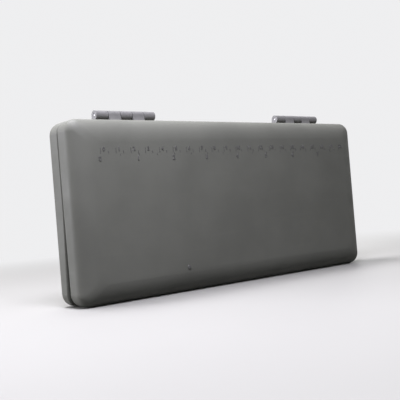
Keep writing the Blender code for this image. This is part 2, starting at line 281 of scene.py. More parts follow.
def joined(pieces: list[Piece], name: str) -> Piece:
    """Join pieces into one object.

    Args:
        pieces: The pieces.
        name: Name of the joined object.

    Returns:
        The joined object.
    """
    make_active(pieces[0])
    for piece in pieces[1:]:
        piece.select_set(True)
    bpy.ops.object.join()
    item = bpy.context.object
    item.name = name
    item.data.name = name
    return item


def middle_and_size(node: str) -> tuple[Vector, Vector]:
    """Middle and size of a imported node's box."""
    low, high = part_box(node)
    return (low + high) / 2, high - low


def added(operator: Callable[..., set[str]], name: str, **settings: object) -> Piece:
    """Add an object with one of the operators that add one.

    Args:
        operator: The operator.
        name: Name of the object and of its data.
        settings: The operator's settings by name.

    Returns:
        The new object.
    """
    deselect_all()
    operator(**settings)
    item = bpy.context.object
    item.name = name
    item.data.name = name
    return item


def round_bar(name: str, radius: float, length: float, sides: int) -> Piece:
    """A round bar along Z about the origin, which is then shaped further."""
    return added(bpy.ops.mesh.primitive_cylinder_add, name, vertices=sides, radius=radius, depth=length)


def round_ends(bar: Piece, radius: float, steps: int, inset: float, dish: float) -> None:
    """Round both ends of a bar over, and dish the flat that is left in their middle.

    Args:
        bar: A round bar along Z.
        radius: How far the rounding reaches in from the end.
        steps: How many steps the rounding has.
        inset: How far in from the flat's edge the dish starts.
        dish: How deep it is.
    """
    with editing(bar):
        pick(bar, Pick.EDGE, lambda edge: abs(edge.verts[0].co.z - edge.verts[1].co.z) < SAME_PLACE)
        bpy.ops.mesh.bevel(offset=radius, segments=steps)
        pick(bar, Pick.FACE, lambda face: abs(face.normal.z) > FLAT_END_ON)
        bpy.ops.mesh.inset(thickness=inset, depth=-dish)


def hand_over(item: Piece, half: Half, slot: Slot, finish: Finish, *nodes: str) -> None:
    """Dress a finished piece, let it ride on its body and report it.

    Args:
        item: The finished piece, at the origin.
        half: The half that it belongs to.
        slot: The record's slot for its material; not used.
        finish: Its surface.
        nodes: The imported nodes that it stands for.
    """
    item.data.materials.clear()
    item.data.materials.append(finish.material())
    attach(item, half.body)
    if nodes:
        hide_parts(*nodes)
    LOG.info("%s rides on %s, %d faces", item.name, half.body, len(item.data.polygons))


# Finishes

def shaded(colour: Colour, factor: float) -> Colour:
    """A colour made lighter or darker by a factor."""
    return tuple(min(1.0, part * factor) for part in colour)


@dataclass(frozen=True)
class Noise:
    """A noise of rounded lumps, or of streaks where it repeats more often along one axis.

    The size is that of a lump in metres, and detail and roughness say how finely it breaks up. The
    span holds the values that it is read between. Streaks have their repeats per metre along each
    axis instead of a size, and a turn about Y in degrees.
    """

    size: float = 1.0
    detail: float = 3.0
    span: Span = (0.3, 0.7)
    roughness: float = 0.5
    repeats: tuple[float, float, float] | None = None
    turn: float = 0.0


@dataclass
class NodeSheet:
    """Adds and wires the nodes of a material or of the world."""

    # Places of a Mix node's colours among its sockets
    FIRST_COLOUR = 6
    SECOND_COLOUR = 7
    MIXED_COLOUR = 2

    tree: bpy.types.NodeTree

    @property
    def shader(self) -> bpy.types.Node:
        """The material's Principled shader."""
        return self.tree.nodes["Principled BSDF"]

    @cached_property
    def place(self) -> Socket:
        """Object coordinates."""
        return self.add("ShaderNodeTexCoord").outputs["Object"]

    def give(self, target: Socket, value: Feed) -> None:
        """Join an output to an input, or set the input to a value.

        Args:
            target: The input.
            value: The output that it is joined to, or its value.
        """
        if isinstance(value, Socket):
            self.tree.links.new(value, target)
        else:
            target.default_value = (*value, 1.0) if target.type == "RGBA" else value

    def feed(self, label: str, value: Feed) -> None:
        """Join or set one of the Principled shader's inputs."""
        self.give(self.shader.inputs[label], value)

    def add(self, kind: str, inputs: dict[str | int, Feed] | None = None,
            **settings: str) -> bpy.types.Node:
        """Add a node, set its properties and fill its inputs.

        Args:
            kind: The node's type.
            inputs: What is given to its inputs, by their label or place.
            settings: Its properties by name.

        Returns:
            The new node.
        """
        node = self.tree.nodes.new(kind)
        for name, setting in settings.items():
            setattr(node, name, setting)
        for label, value in (inputs or {}).items():
            self.give(node.inputs[label], value)
        return node

    def noise(self, kind: Noise) -> Socket:
        """A noise on Object coordinates.

        Args:
            kind: Its lumps or streaks.

        Returns:
            The noise's value, from 0 to 1.
        """
        vector = self.place
        if kind.repeats:
            turn = (0.0, math.radians(kind.turn), 0.0)
            inputs = {"Rotation": turn, "Scale": kind.repeats, "Vector": vector}
            vector = self.add("ShaderNodeMapping", inputs).outputs["Vector"]
        inputs = {"Scale": 1.0 / kind.size, "Detail": kind.detail, "Roughness": kind.roughness,
                  "Vector": vector}
        return self.add("ShaderNodeTexNoise", inputs).outputs["Fac"]

    def ranged(self, value: Socket, span: Span, reach: Span = (0.0, 1.0)) -> Socket:
        """A value moved from one range to another and held inside it.

        Args:
            value: The value to move.
            span: The range that it is read over.
            reach: The range that it comes out in.

        Returns:
            The moved value.
        """
        labels = ("Value", "From Min", "From Max", "To Min", "To Max")
        inputs = dict(zip(labels, (value, *span, *reach)))
        return self.add("ShaderNodeMapRange", inputs, interpolation_type="SMOOTHSTEP").outputs["Result"]

    def share(self, kind: Noise, most: float = 1.0) -> Socket:
        """A share that follows a noise, from 0 to the most that it may be."""
        return self.ranged(self.noise(kind), kind.span, (0.0, most))

    def combined(self, first: Socket | float, second: Socket, how: Combine) -> Socket:
        """Two values combined in one of the ways that there are."""
        return self.add("ShaderNodeMath", {0: first, 1: second}, operation=how.value).outputs["Value"]

    def tint(self, share: Socket, colour: Socket | Colour, other: Colour) -> Socket:
        """A colour mixed with another by a share.

        Args:
            share: Share of the other colour.
            colour: The first colour, or what gives it.
            other: The second colour.

        Returns:
            The mixed colour.
        """
        inputs = {"Factor": share, self.FIRST_COLOUR: colour, self.SECOND_COLOUR: other}
        return self.add("ShaderNodeMix", inputs, data_type="RGBA").outputs[self.MIXED_COLOUR]

    def toned(self, share: Socket, colour: Colour, tones: Span) -> Socket:
        """A colour that a share moves from a darker tone to a lighter one."""
        return self.tint(share, shaded(colour, tones[0]), shaded(colour, tones[1]))

    def bump(self, height: Socket, depth: float, strength: float = 1.0,
             under: Socket | None = None) -> Socket:
        """A bump of a real depth.

        Args:
            height: Height from 0 to 1.
            depth: Depth of the whole range in metres.
            strength: Share of the bump that is kept.
            under: The normal that it is laid over.

        Returns:
            The bumped normal.
        """
        inputs = {"Distance": depth, "Strength": strength, "Height": height}
        if under:
            inputs["Normal"] = under
        return self.add("ShaderNodeBump", inputs).outputs["Normal"]

    def seen_directly(self) -> Socket:
        """Tell the rays that show a surface, straight or by gloss or glass, from those that light others.

        Returns:
            1 for a ray that shows the surface, otherwise 0.
        """
        rays = self.add("ShaderNodeLightPath").outputs
        shown = self.combined(rays["Is Camera Ray"], rays["Is Glossy Ray"], Combine.LARGER)
        return self.combined(shown, rays["Is Transmission Ray"], Combine.LARGER)


@dataclass(frozen=True)
class Finish:
    """A surface: its name, its colour and how rough it is."""

    name: str
    colour: Colour
    roughness: float

    def material(self) -> bpy.types.Material:
        """The finish's material, made once.

        Returns:
            The material.
        """
        material = bpy.data.materials.get(self.name)
        if not material:
            material = bpy.data.materials.new(self.name)
            material.use_nodes = True
            self.lay(NodeSheet(material.node_tree))
        return material

    def lay(self, sheet: NodeSheet) -> None:
        """Lay out the finish's nodes.

        Args:
            sheet: The material to fill.
        """
        raise NotImplementedError

    def around(self, steps: Span) -> Span:
        """The finish's roughness moved by each of two steps."""
        return self.roughness + steps[0], self.roughness + steps[1]


@dataclass(frozen=True)
class MouldedPlastic(Finish):
    """Matte moulded plastic: a spark-eroded tool's fine grain, faint mottling and handling marks."""

    grain: Noise = Noise(0.00046, detail=2.0, roughness=0.6)
    grain_depth: float = 0.000055
    waves: Noise = Noise(0.009, detail=1.0)
    wave_depth: float = 0.00003
    wave_strength: float = 0.6
    mottle: Noise = Noise(0.034, detail=4.0, span=(0.32, 0.68))
    mottle_share: float = 0.07
    satin: Noise = Noise(0.011)
    satin_steps: Span = (-0.05, 0.05)
    rubs: Noise = Noise(detail=5.0, span=(0.56, 0.74), repeats=(26.0, 90.0, 260.0), turn=24.0)
    rub_share: float = 0.10
    rub_tone: float = 1.22
    rub_gloss_span: Span = (0.54, 0.76)
    rub_gloss: float = 0.08
    scuffs: Noise = Noise(0.0024, detail=5.0, span=(0.50, 0.66))
    scuffed_below: float = 0.0022
    scuff_share: float = 0.7
    scuff_tone: float = 1.6
    scuff_gloss: float = 0.10
    refraction: float = 1.49
    specular_level: float = 0.22

    def worn_foot(self, sheet: NodeSheet) -> Socket:
        """Wear on the edge that the box stands on.

        Args:
            sheet: The material to fill.

        Returns:
            Share of the wear, patchy and only near the foot.
        """
        axes = sheet.add("ShaderNodeSeparateXYZ", {"Vector": sheet.place})
        foot = sheet.ranged(axes.outputs["Z"], (0.0, self.scuffed_below), (1.0, 0.0))
        return sheet.combined(foot, sheet.share(self.scuffs, self.scuff_share), Combine.PRODUCT)

    def lay(self, sheet: NodeSheet) -> None:
        """Lay out the plastic's colour, roughness and grain.

        Args:
            sheet: The material to fill.
        """
        tones = (1 - self.mottle_share, 1 + self.mottle_share)
        mottled = sheet.toned(sheet.share(self.mottle), self.colour, tones)
        rubs = sheet.noise(self.rubs)
        rubbed = sheet.ranged(rubs, self.rubs.span, (0.0, self.rub_share))
        coloured = sheet.tint(rubbed, mottled, shaded(self.colour, self.rub_tone))
        worn = self.worn_foot(sheet)
        sheet.feed("Base Color", sheet.tint(worn, coloured, shaded(self.colour, self.scuff_tone)))
        satin = sheet.ranged(sheet.noise(self.satin), self.satin.span, self.around(self.satin_steps))
        glossy_rubs = sheet.ranged(rubs, self.rub_gloss_span, (0.0, self.rub_gloss))
        smoothed = sheet.combined(satin, glossy_rubs, Combine.DIFFERENCE)
        glossy_foot = sheet.ranged(worn, (0.0, 1.0), (0.0, self.scuff_gloss))
        sheet.feed("Roughness", sheet.combined(smoothed, glossy_foot, Combine.DIFFERENCE))
        sheet.feed("IOR", self.refraction)
        sheet.feed("Specular IOR Level", self.specular_level)
        waves = sheet.bump(sheet.noise(self.waves), self.wave_depth, self.wave_strength)
        sheet.feed("Normal", sheet.bump(sheet.noise(self.grain), self.grain_depth, under=waves))


@dataclass(frozen=True)
class ClosedCellFoam(Finish):
    """Cut closed-cell foam: open cells on the face, uneven density and a little dust."""

    cell_size: float = 0.00034
    cell_smoothness: float = 0.35
    cell_span: Span = (0.15, 0.75)
    cell_depth: float = 0.00009
    cell_strength: float = 0.9
    wall_share: float = 0.5
    wall_tone: float = 2.3
    density: Noise = Noise(0.018, detail=5.0, span=(0.35, 0.65))
    density_tones: Span = (0.80, 1.30)
    dust: Noise = Noise(0.0019, detail=6.0, span=(0.62, 0.80), roughness=0.7)
    dust_share: float = 0.30
    dust_tone: float = 5.0
    swell: Noise = Noise(0.008, detail=1.0)
    swell_depth: float = 0.00010
    swell_strength: float = 0.6
    sheen: float = 0.12
    sheen_roughness: float = 0.6
    specular_level: float = 0.3

    def lay(self, sheet: NodeSheet) -> None:
        """Lay out the foam's cells and colour.

        Args:
            sheet: The material to fill.
        """
        inputs = {"Scale": 1.0 / self.cell_size, "Smoothness": self.cell_smoothness, "Vector": sheet.place}
        cells = sheet.add("ShaderNodeTexVoronoi", inputs, feature="SMOOTH_F1")
        walls = sheet.ranged(cells.outputs["Distance"], self.cell_span)
        uneven = sheet.toned(sheet.share(self.density), self.colour, self.density_tones)
        lighter_walls = sheet.ranged(walls, (0.0, 1.0), (0.0, self.wall_share))
        walled = sheet.tint(lighter_walls, uneven, shaded(self.colour, self.wall_tone))
        dusty = sheet.share(self.dust, self.dust_share)
        sheet.feed("Base Color", sheet.tint(dusty, walled, shaded(self.colour, self.dust_tone)))
        sheet.feed("Roughness", self.roughness)
        sheet.feed("Sheen Weight", self.sheen)
        sheet.feed("Sheen Roughness", self.sheen_roughness)
        sheet.feed("Specular IOR Level", self.specular_level)
        swell = sheet.bump(sheet.noise(self.swell), self.swell_depth, self.swell_strength)
        sheet.feed("Normal", sheet.bump(walls, self.cell_depth, self.cell_strength, swell))


@dataclass(frozen=True)
class SmoothFinish(Finish):
    """A smooth surface whose tone and gloss wander together, over a fine relief.

    The tones are factors on the colour, and the gloss steps are added to the roughness.
    """

    clouds: Noise
    tones: Span
    gloss_steps: Span
    relief: Noise
    relief_depth: float
    relief_strength: float = 1.0
    metallic: float = 0.0
    gloss_span: Span = (0.3, 0.7)

    def gloss(self, sheet: NodeSheet, clouds: Socket) -> Socket:
        """Roughness that follows the clouds."""
        return sheet.ranged(clouds, self.gloss_span, self.around(self.gloss_steps))

    def relief_height(self, sheet: NodeSheet) -> Socket:
        """Height of the relief, from 0 to 1."""
        return sheet.noise(self.relief)

    def lay(self, sheet: NodeSheet) -> None:
        """Lay out the surface's tone, gloss and relief.

        Args:
            sheet: The material to fill.
        """
        sheet.feed("Metallic", self.metallic)
        clouds = sheet.noise(self.clouds)
        lighter = sheet.ranged(clouds, self.clouds.span)
        sheet.feed("Base Color", sheet.toned(lighter, self.colour, self.tones))
        sheet.feed("Roughness", self.gloss(sheet, clouds))
        height = self.relief_height(sheet)
        sheet.feed("Normal", sheet.bump(height, self.relief_depth, self.relief_strength))


@dataclass(frozen=True)
class PolishedPlastic(SmoothFinish):
    """Plastic moulded against bare polished steel, so smoother than what is round it."""

    clouds: Noise = Noise(0.004, span=(0.35, 0.7))
    tones: Span = (1.0, 1.15)
    gloss_steps: Span = (-0.04, 0.06)
    relief: Noise = Noise(0.0012)
    relief_depth: float = 0.000006


# Lines that a die leaves along a wire
DRAW_LINES = Noise(detail=4.0, repeats=(60.0, 5200.0, 5200.0))


@dataclass(frozen=True)
class DrawnSteel(SmoothFinish):
    """Bright drawn wire, with draw lines along X."""

    clouds: Noise = DRAW_LINES
    tones: Span = (0.86, 1.10)
    gloss_steps: Span = (-0.08, 0.10)
    relief: Noise = DRAW_LINES
    relief_depth: float = 0.000006
    relief_strength: float = 0.8
    metallic: float = 1.0


@dataclass(frozen=True)
class NickelPlate(SmoothFinish):
    """Nickel plate on a sintered magnet: bright, a little warm, with fine pits and scuffs."""

    clouds: Noise = Noise(0.0022, detail=5.0, span=(0.35, 0.65))
    tones: Span = (0.90, 1.08)
    gloss_steps: Span = (-0.05, 0.08)
    relief: Noise = Noise(0.00022, detail=1.0, span=(0.25, 0.45))
    relief_depth: float = 0.000005
    relief_strength: float = 0.5
    metallic: float = 1.0
    scuffs: Noise = Noise(detail=4.0, span=(0.55, 0.75), repeats=(500.0, 500.0, 6500.0), turn=38.0)
    scuff_roughness: float = 0.14

    def gloss(self, sheet: NodeSheet, clouds: Socket) -> Socket:
        """Roughness that follows the clouds and rises in the scuffs."""
        scuffed = sheet.share(self.scuffs, self.scuff_roughness)
        return sheet.combined(super().gloss(sheet, clouds), scuffed, Combine.SUM)

    def relief_height(self, sheet: NodeSheet) -> Socket:
        """Height of the plate, which drops into pits."""
        return sheet.share(self.relief)


@dataclass(frozen=True)
class SatinPlastic(SmoothFinish):
    """Small satin mouldings, with the marks of the plastic's flow."""

    clouds: Noise = Noise(0.0016)
    tones: Span = (0.90, 1.12)
    gloss_steps: Span = (-0.06, 0.08)
    relief: Noise = Noise(0.00018, detail=2.0)
    relief_depth: float = 0.000008


SHELL_FINISH = MouldedPlastic("olive_grey_moulding", (0.158, 0.161, 0.138), 0.54)
# Painted sheen: the knuckles are moulded with the shell but are coloured a cooler grey that stands in for
# the lilac sheen of their gloss. Their lower roughness is real.
KNUCKLE_PAINTED_SHEEN_FINISH = PolishedPlastic("smooth_knuckle_moulding", (0.156, 0.154, 0.149), 0.40)
# Painted reflection: the ruler and the gate mark are coloured darker than the shell they are moulded from.
# The colour stands in for a dark surround mirrored in their gloss.
RULER_PAINTED_REFLECTION_FINISH = PolishedPlastic("polished_ruler", (0.094, 0.094, 0.088), 0.34)
FOAM_FINISH = ClosedCellFoam("black_closed_cell_foam", (0.020, 0.020, 0.022), 0.92)
STEEL_FINISH = DrawnSteel("drawn_steel", (0.52, 0.52, 0.53), 0.46)
NICKEL_FINISH = NickelPlate("nickel_plate", (0.66, 0.64, 0.60), 0.22)
RIG_PIN_FINISH = SatinPlastic("rig_pin_moulding", (0.240, 0.250, 0.180), 0.42)


# Shells

@dataclass
class Shell:
    """One moulded half with its knuckles and magnet bosses."""

    half: Half
    crisp_from: float = 32.0
    knuckles_from: float = 0.1036
    length: float = 0.2360
    height: float = 0.1035
    depth: float = 0.0155
    side_band: float = 0.0076
    roll_inset: float = 0.0140
    corner_radius: float = 0.0075
    least_corner: float = 0.0010
    soft_corner: float = 0.0045
    item: Piece = field(init=False)

    @property
    def node(self) -> str:
        """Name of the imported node."""
        return f"{self.half.value}_shell"

    def soften_corners(self) -> None:
        """Round the roll's contours at the four corners, where a crease would run to the flat face.

        Each contour of the roll is a rectangle with rounded corners, which get tighter further in. A
        point on a corner tighter than the soft one is moved to the same angle on the soft one.
        """
        for vert in self.item.data.vertices:
            rise = (abs(vert.co.y) - self.side_band) / (self.depth - self.side_band)
            if rise <= 0.0:
                continue
            inset = self.roll_inset * (1 - math.sqrt(max(0.0, 1 - rise ** 2)))
            radius = max(self.corner_radius - inset, self.least_corner)
            upper = vert.co.z > self.height / 2
            from_edge = self.height - vert.co.z if upper else vert.co.z
            out = abs(vert.co.x) - (self.length / 2 - inset - radius)
            over = inset + radius - from_edge
            if min(out, over) < -SAME_PLACE or abs(math.hypot(out, over) - radius) > SAME_PLACE:
                continue
            softer = max(radius, self.soft_corner)
            across = self.length / 2 - inset - softer + out * softer / radius
            from_edge = inset + softer - over * softer / radius
            vert.co.x = math.copysign(across, vert.co.x)
            vert.co.z = self.height - from_edge if upper else from_edge

    def build(self) -> None:
        """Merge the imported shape's triangles and shade its rolled faces round, its flat ones flat."""
        self.item = merged_copy(self.node, f"{self.node}_moulding")
        self.soften_corners()
        smooth_by_angle(self.item, self.crisp_from)
        weigh_normals(self.item)

    def dress(self) -> None:
        """Give the shell its grained plastic, and the knuckles their smooth one, tinted cooler as a painted
        sheen.
        """
        hand_over(self.item, self.half, Slot.SHELL, SHELL_FINISH, self.node)
        materials = self.item.data.materials
        materials.append(KNUCKLE_PAINTED_SHEEN_FINISH.material())
        for polygon in self.item.data.polygons:
            if polygon.center.z > self.knuckles_from:
                polygon.material_index = len(materials) - 1


# Ruler and gate mark

@dataclass
class FaceDetail:
    """A detail on the lid's face: how far it stands proud, and how far it reaches into the face."""

    raised: float
    sunk: float = 0.00010
    face: float = field(init=False)
    items: list[Piece] = field(init=False)

    def __post_init__(self) -> None:
        """Find the place of the lid's face along Y."""
        self.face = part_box("lid_shell")[0].y

    def seated(self, x: float, z: float) -> Vector:
        """Middle of the detail at a place on the face."""
        return Vector((x, self.face + (self.sunk - self.raised) / 2, z))

    def dress(self) -> None:
        """Give the detail its polished plastic, coloured darker as a painted reflection."""
        for item in self.items:
            hand_over(item, Half.LID, Slot.SHELL, RULER_PAINTED_REFLECTION_FINISH)


@dataclass
class Ruler(FaceDetail):
    """Raised centimetre and inch scale along the top of the lid's face."""

    raised: float = 0.00022
    first_mark: float = -0.1005
    centimetre: float = 0.010
    inch: float = 0.0254
    last_centimetre: int = 20
    last_inch: int = 7
    baseline: float = 0.0836
    stroke: float = 0.00032
    long_tick: float = 0.0030
    short_tick: float = 0.0014
    inch_tick: float = 0.0010
    to_inch_ticks: float = 0.0003
    number_height: float = 0.0022
    number_beside_tick: float = 0.0021
    number_above: float = 0.0024
    inch_number_height: float = 0.0026
    inch_number_shift: float = -0.0007
    inch_number_below: float = 0.0027
    digit_share_of_text: float = 0.70
    digit_weight: float = 0.00009
    digit_steps: int = 3
    edge_round: float = 0.00005
    edge_steps: int = 2

    def tick(self, name: str, x: float, low: float, height: float) -> Piece:
        """One tick: a bar with its outer edges chamfered.

        Args:
            name: Name of the tick.
            x: Its middle along the box.
            low: Its lower end.
            height: Its length.

        Returns:
            The tick.
        """
        place = self.seated(x, low + height / 2)
        bar = added(bpy.ops.mesh.primitive_cube_add, name, size=1.0, location=place)
        bar.scale = (self.stroke, self.sunk + self.raised, height)
        settle(bar)
        outside = self.face - self.raised / 2
        with editing(bar):
            pick(bar, Pick.EDGE, lambda edge: all(vert.co.y < outside for vert in edge.verts))
            bpy.ops.mesh.bevel(offset=self.edge_round, segments=self.edge_steps)
        return bar

    def number(self, text: str, x: float, z: float, height: float) -> Piece:
        """One raised number, centred on its place.

        Args:
            text: The number.
            x: Its middle along the box.
            z: Its middle height.
            height: Height of its digits.

        Returns:
            The number as a mesh.
        """
        item = added(bpy.ops.object.text_add, f"ruler_number_{text}", location=(0.0, 0.0, 0.0))
        item.data.body = text
        item.data.align_x = "CENTER"
        item.data.align_y = "CENTER"
        item.data.size = height / self.digit_share_of_text
        item.data.resolution_u = self.digit_steps
        item.data.offset = self.digit_weight
        item.data.extrude = (self.raised + self.sunk) / 2 - self.edge_round
        item.data.bevel_depth = self.edge_round
        item.data.bevel_resolution = 0
        bpy.ops.object.convert(target="MESH")
        item = bpy.context.object
        low = min(vert.co.y for vert in item.data.vertices)
        high = max(vert.co.y for vert in item.data.vertices)
        upright = Euler((math.pi / 2, 0.0, 0.0)).to_matrix().to_4x4()
        item.matrix_world = Matrix.Translation(self.seated(x, z - (low + high) / 2)) @ upright
        settle(item)
        with editing(item):
            bpy.ops.mesh.select_all(action="SELECT")
            bpy.ops.mesh.remove_doubles(threshold=MERGE_DISTANCE)
            bpy.ops.mesh.normals_make_consistent(inside=False)
        return item

    def build(self) -> None:
        """Lay the ticks and numbers out along the face."""
        ticks, numbers = [], []
        for step in range(2 * self.last_centimetre + 1):
            x = self.first_mark + step * self.centimetre / 2
            height = self.short_tick if step % 2 else self.long_tick
            ticks.append(self.tick(f"centimetre_tick_{step}", x, self.baseline, height))
            if step % 2 == 0:
                numbers.append(self.number(str(step // 2), x + self.number_beside_tick,
                                           self.baseline + self.number_above, self.number_height))
        top = self.baseline - self.to_inch_ticks
        for step in range(2 * self.last_inch + 2):
            x = self.first_mark + step * self.inch / 2
            if step:
                ticks.append(self.tick(f"inch_tick_{step}", x, top - self.inch_tick, self.inch_tick))
            if step % 2 == 0:
                numbers.append(self.number(str(step // 2), x + self.inch_number_shift,
                                           top - self.inch_number_below, self.inch_number_height))
        self.items = [joined(ticks, "ruler_ticks"), joined(numbers, "ruler_numbers")]


@dataclass
class GateMark(FaceDetail):
    """The small raised dot low on the lid's face, where the plastic ran into the mould."""

    raised: float = 0.00032
    place: tuple[float, float] = (-0.0455, 0.0147)
    radius: float = 0.0013
    dome_share: float = 0.9
    dome_steps: int = 5
    pip_inset: float = 0.00030
    pip_rise: float = 0.00006
    sides: int = 48
    crisp_from: float = 50.0

    def build(self) -> None:
        """Round a disc's outer edge, raise its middle and turn it to the lid's face."""
        height = self.raised + self.sunk
        model = round_bar("gate_mark_model", self.radius, height, self.sides)
        with editing(model):
            pick(model, Pick.EDGE, lambda edge: all(vert.co.z > 0.0 for vert in edge.verts))
            bpy.ops.mesh.bevel(offset=self.raised * self.dome_share, segments=self.dome_steps)
            pick_end(model, height / 2)
            bpy.ops.mesh.inset(thickness=self.pip_inset, depth=self.pip_rise)
        mark = placed_copy(model, "gate_mark", self.seated(*self.place), math.pi / 2)
        bpy.data.objects.remove(model)
        smooth_by_angle(mark, self.crisp_from)
        self.items = [mark]


# Foam boards and rig pins

@dataclass
class FoamBoard:
    """A slotted foam board, with the soft rounded edges that a hot blade leaves."""

    half: Half
    edge_round: float = 0.00035
    edge_steps: int = 3
    edge_fullness: float = 0.6
    crisp_from: float = 40.0
    item: Piece = field(init=False)

    @property
    def node(self) -> str:
        """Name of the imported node."""
        return f"{self.half.value}_foam"

    def front(self) -> float:
        """Place of the board's face along Y, towards the parting plane."""
        low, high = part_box(self.node)
        return low.y if self.half is Half.BASE else high.y

    def build(self) -> None:
        """Round the edges of the face, its slots, its notches and its pin holes."""
        self.item = merged_copy(self.node, f"{self.half.value}_foam_board")
        front = self.front()

        def on_rim(edge: bmesh.types.BMEdge) -> bool:
            """Whether an edge runs round the face or round a hole in it."""
            in_face = all(abs(vert.co.y - front) <= SAME_PLACE for vert in edge.verts)
            return in_face and is_sharp(edge, self.crisp_from)

        with editing(self.item):
            pick(self.item, Pick.EDGE, on_rim)
            bpy.ops.mesh.bevel(offset=self.edge_round, segments=self.edge_steps, profile=self.edge_fullness)
        smooth_by_angle(self.item, self.crisp_from)
        weigh_normals(self.item)

    def dress(self) -> None:
        """Give the board its foam."""
        hand_over(self.item, self.half, Slot.FOAM, FOAM_FINISH, self.node)


@dataclass
class Copies:
    """Copies of one model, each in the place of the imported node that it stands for."""

    slot: Slot
    finish: Finish
    crisp_from: float = 40.0
    items: dict[str, Piece] = field(default_factory=dict)

    def dress(self) -> None:
        """Give the copies their material."""
        for node, item in self.items.items():
            hand_over(item, Half.of(node), self.slot, self.finish, node)


@dataclass
class RigPins(Copies):
    """The rig pins of both boards: a domed head on a collar, and a shaft that ends in a point."""

    slot: Slot = Slot.RIG_PIN
    finish: Finish = RIG_PIN_FINISH
    head_radius: float = 0.0026
    head_height: float = 0.0022
    collar_radius: float = 0.0013
    collar_height: float = 0.0006
    seat: float = 0.0003
    shaft_radius: float = 0.0006
    point_length: float = 0.0022
    tip_radius: float = 0.0001
    edge_round: float = 0.00010
    edge_steps: int = 3
    dome_steps: int = 8
    crown_share: float = 0.10
    sides: int = 32

    def nodes(self) -> list[str]:
        """Names of all packed rig pins."""
        return sorted(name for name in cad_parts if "_rig_pin_" in name)

    def carry(self, start: tuple[float, float], rings: list[tuple[float, float]]) -> None:
        """Carry the selected end face through rings, in edit mode.

        Args:
            start: Radius and height of the selected face.
            rings: Radius and height of each ring that follows.
        """
        radius, height = start
        for next_radius, next_height in rings:
            rise = (0.0, 0.0, next_height - height)
            bpy.ops.mesh.extrude_region_move(TRANSFORM_OT_translate={"value": rise})
            share = next_radius / radius
            bpy.ops.transform.resize(value=(share, share, 1.0), center_override=(0.0, 0.0, 0.0))
            radius, height = next_radius, next_height

    def head_rings(self) -> list[tuple[float, float]]:
        """Rings of the collar and the head, from the shaft up.

        Returns:
            Radius of each ring, and its height above the foam.
        """
        collar_top = self.seat + self.collar_height
        crown = self.head_height / 2
        rings = [(self.collar_radius, self.seat), (self.collar_radius, collar_top)]
        for step in range(self.dome_steps + 1):
            angle = math.pi / 2 * (1 - (1 - self.crown_share) * step / self.dome_steps)
            rings.append((self.head_radius * math.sin(angle), collar_top + crown * (1 + math.cos(angle))))
        return rings

    def model(self, shaft_length: float) -> Piece:
        """One pin along Z, with the foam's face at height 0.

        Args:
            shaft_length: How far the point reaches below the foam's face.

        Returns:
            The pin that is copied.
        """
        straight = self.seat + shaft_length - self.point_length
        pin = round_bar("rig_pin_model", self.shaft_radius, straight, self.sides)
        pin.location.z = self.seat - straight / 2
        settle(pin)

        def on_head(edge: bmesh.types.BMEdge) -> bool:
            """Whether an edge is a sharp one above the foot of the collar."""
            above = min(vert.co.z for vert in edge.verts) > self.seat + SAME_PLACE
            return above and is_sharp(edge, self.crisp_from)

        with editing(pin):
            pick_end(pin, self.seat)
            self.carry((self.shaft_radius, self.seat), self.head_rings())
            pick_end(pin, self.seat - straight)
            self.carry((self.shaft_radius, self.seat - straight), [(self.tip_radius, -shaft_length)])
            pick(pin, Pick.EDGE, on_head)
            bpy.ops.mesh.bevel(offset=self.edge_round, segments=self.edge_steps)
        smooth_by_angle(pin, self.crisp_from)
        return pin

    def build(self) -> None:
        """Model one pin and copy it to each packed pin's place."""
        nodes = self.nodes()
        head_top = self.seat + self.collar_height + self.head_height
        model = self.model(middle_and_size(nodes[0])[1].y - head_top)
        for node in nodes:
            middle, size = middle_and_size(node)
            side = Half.of(node).side
            place = Vector((middle.x, middle.y - side * (size.y / 2 - head_top), middle.z))
            self.items[node] = placed_copy(model, f"{node}_moulding", place, side * math.pi / 2)
        bpy.data.objects.remove(model)


# Magnets and hinge pins

@dataclass
class ClosureMagnets(Copies):
    """The four nickel-plated disc magnets, with their edges tumbled round."""

    slot: Slot = Slot.NICKEL
    finish: Finish = NICKEL_FINISH
    edge_round: float = 0.0003
    round_steps: int = 4
    flat_inset: float = 0.0005
    flat_dish: float = 0.00002
    sides: int = 72

    def build(self) -> None:
        """Model one magnet and copy it to each pocket."""
        size = middle_and_size(f"{Half.BASE.body}_magnet_{End.LEFT.value}")[1]
        model = round_bar("magnet_model", size.x / 2, size.y, self.sides)
        round_ends(model, self.edge_round, self.round_steps, self.flat_inset, self.flat_dish)
        smooth_by_angle(model, self.crisp_from)
        for half in Half:
            for end in End:
                node = f"{half.body}_magnet_{end.value}"
                self.items[node] = placed_copy(model, f"{node}_disc", middle_and_size(node)[0], math.pi / 2)
        bpy.data.objects.remove(model)


@dataclass
class HingePins(Copies):
    """The wire pins of the two hinges, with their cropped ends rounded over."""

    slot: Slot = Slot.STEEL
    finish: Finish = STEEL_FINISH
    end_round: float = 0.00020
    round_steps: int = 3
    crop_inset: float = 0.00012
    crop_dish: float = 0.00002
    sides: int = 40

    def build(self) -> None:
        """Model one pin and copy it to both hinges."""
        size = middle_and_size(f"hinge_pin_{End.LEFT.value}")[1]
        model = round_bar("hinge_pin_model", size.z / 2, size.x, self.sides)
        round_ends(model, self.end_round, self.round_steps, self.crop_inset, self.crop_dish)
        model.rotation_euler = (0.0, math.pi / 2, 0.0)
        settle(model)
        smooth_by_angle(model, self.crisp_from)
        for end in End:
            node = f"hinge_pin_{end.value}"
            self.items[node] = placed_copy(model, f"{node}_wire", middle_and_size(node)[0])
        bpy.data.objects.remove(model)


# Studio

BACKGROUND: Colour = (0.86, 0.86, 0.87)


